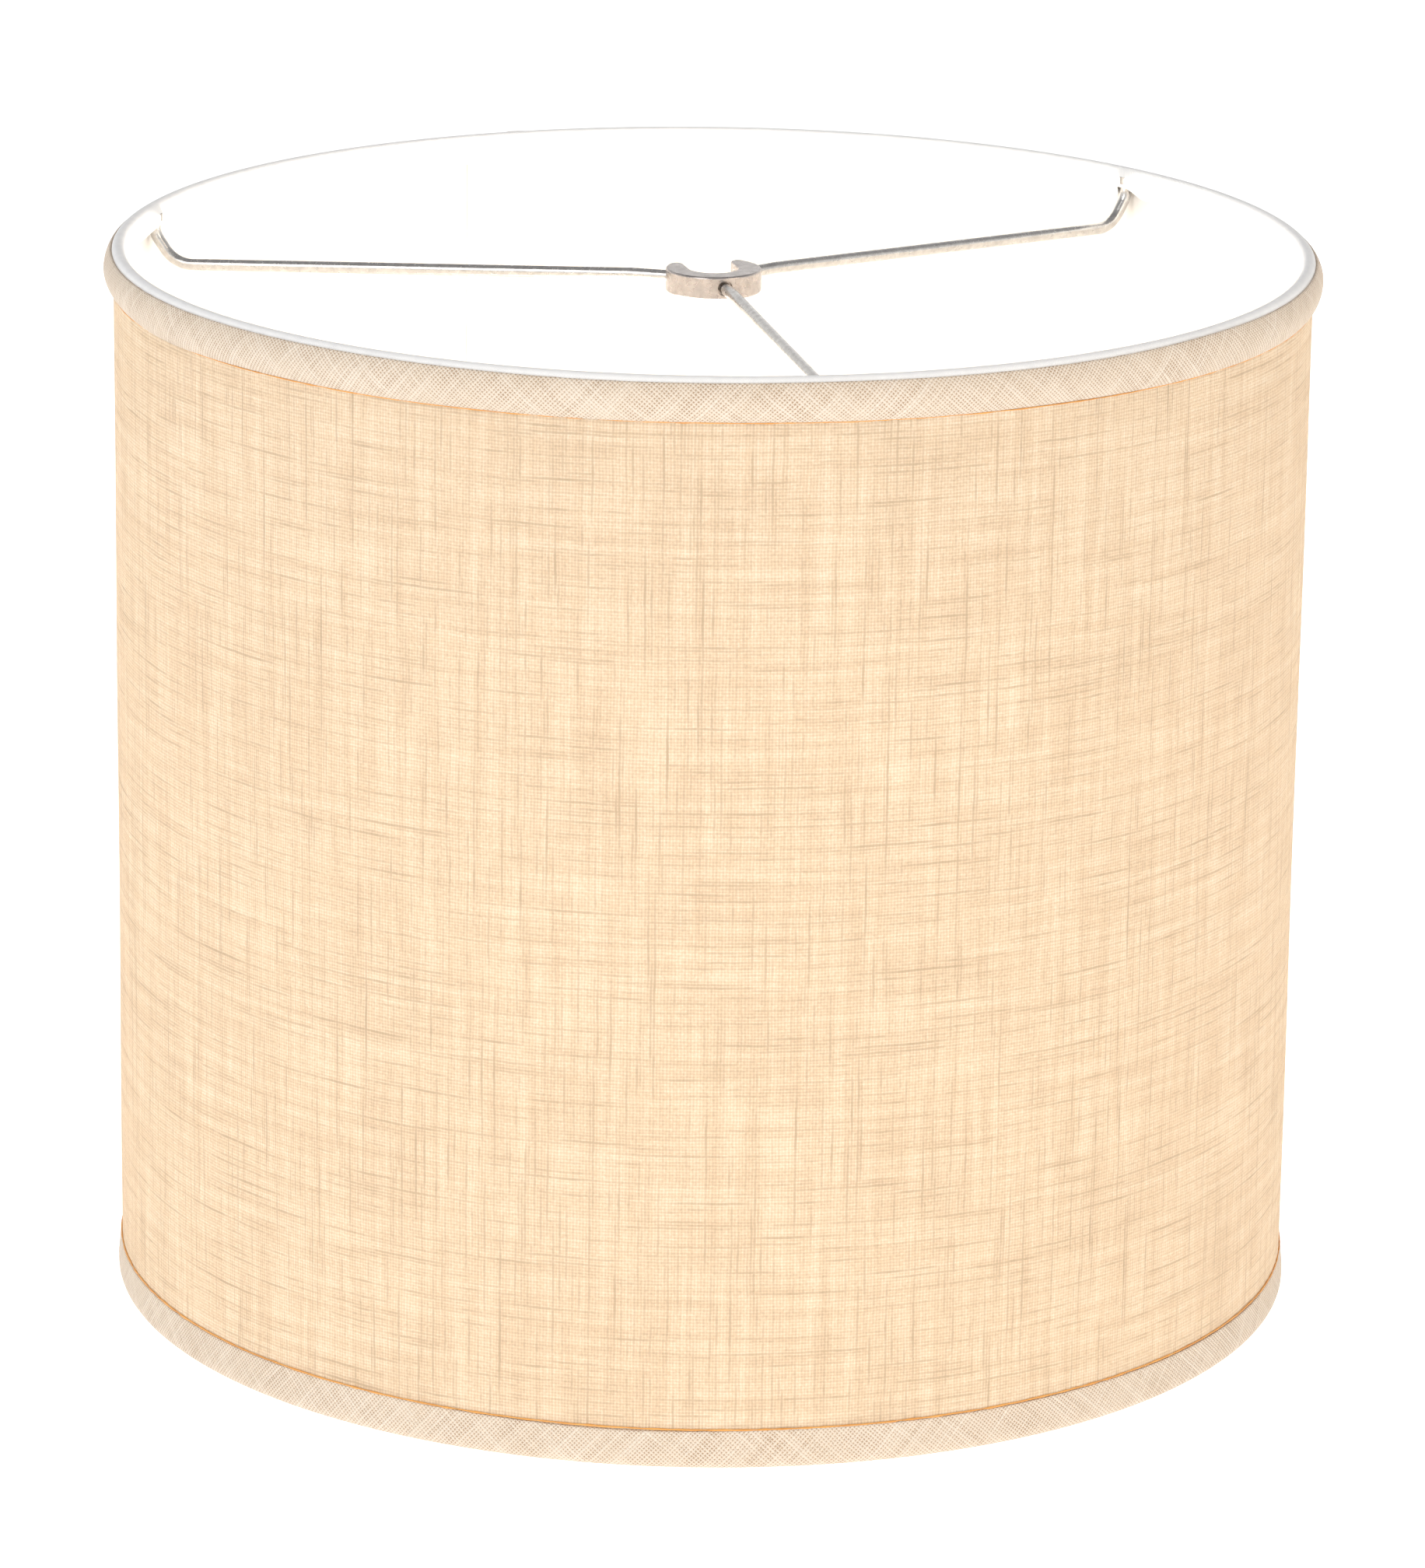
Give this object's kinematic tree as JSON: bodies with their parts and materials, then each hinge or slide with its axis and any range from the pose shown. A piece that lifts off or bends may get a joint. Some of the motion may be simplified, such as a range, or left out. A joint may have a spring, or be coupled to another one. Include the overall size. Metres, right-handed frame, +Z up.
{
  "type": "lamp shade",
  "caption": "Straight drum lamp shade: natural linen over a rigid white liner, bias-cut trims, wire rings and a slotted spider hub held by bent wire arms.",
  "frame": {"origin": "on the shade's axis, at the level of its lower edge", "axes": "+Z up the shade's axis towards the spider, -Y towards the front, +X to the right seen from the front"},
  "size_m": [0.3298, 0.3298, 0.292],
  "materials": {
    "ring_wire": "galvanised wire, dull",
    "arm_wire": "galvanised wire, mottled",
    "hub_metal": "galvanised steel, rounded rims",
    "weld_metal": "dull weld",
    "liner_sheet": "white rigid lining sheet, satin",
    "linen_cloth": "plain-weave natural linen with slubs",
    "lining_tape": "white woven tape",
    "trim_cloth": "bias-cut linen strip"
  },
  "bodies": {
    "root": {"top_ring": "ring_wire", "bottom_ring": "ring_wire", "spider_hub": "hub_metal", "spider_arm_front": "arm_wire", "spider_arm_left": "arm_wire", "spider_arm_right": "arm_wire", "arm_weld_beads": "weld_metal", "styrene_liner": "liner_sheet", "linen_cover": "linen_cloth", "top_lining_tape": "lining_tape", "bottom_lining_tape": "lining_tape", "top_bias_trim": "trim_cloth", "bottom_bias_trim": "trim_cloth"}
  },
  "joints": []
}
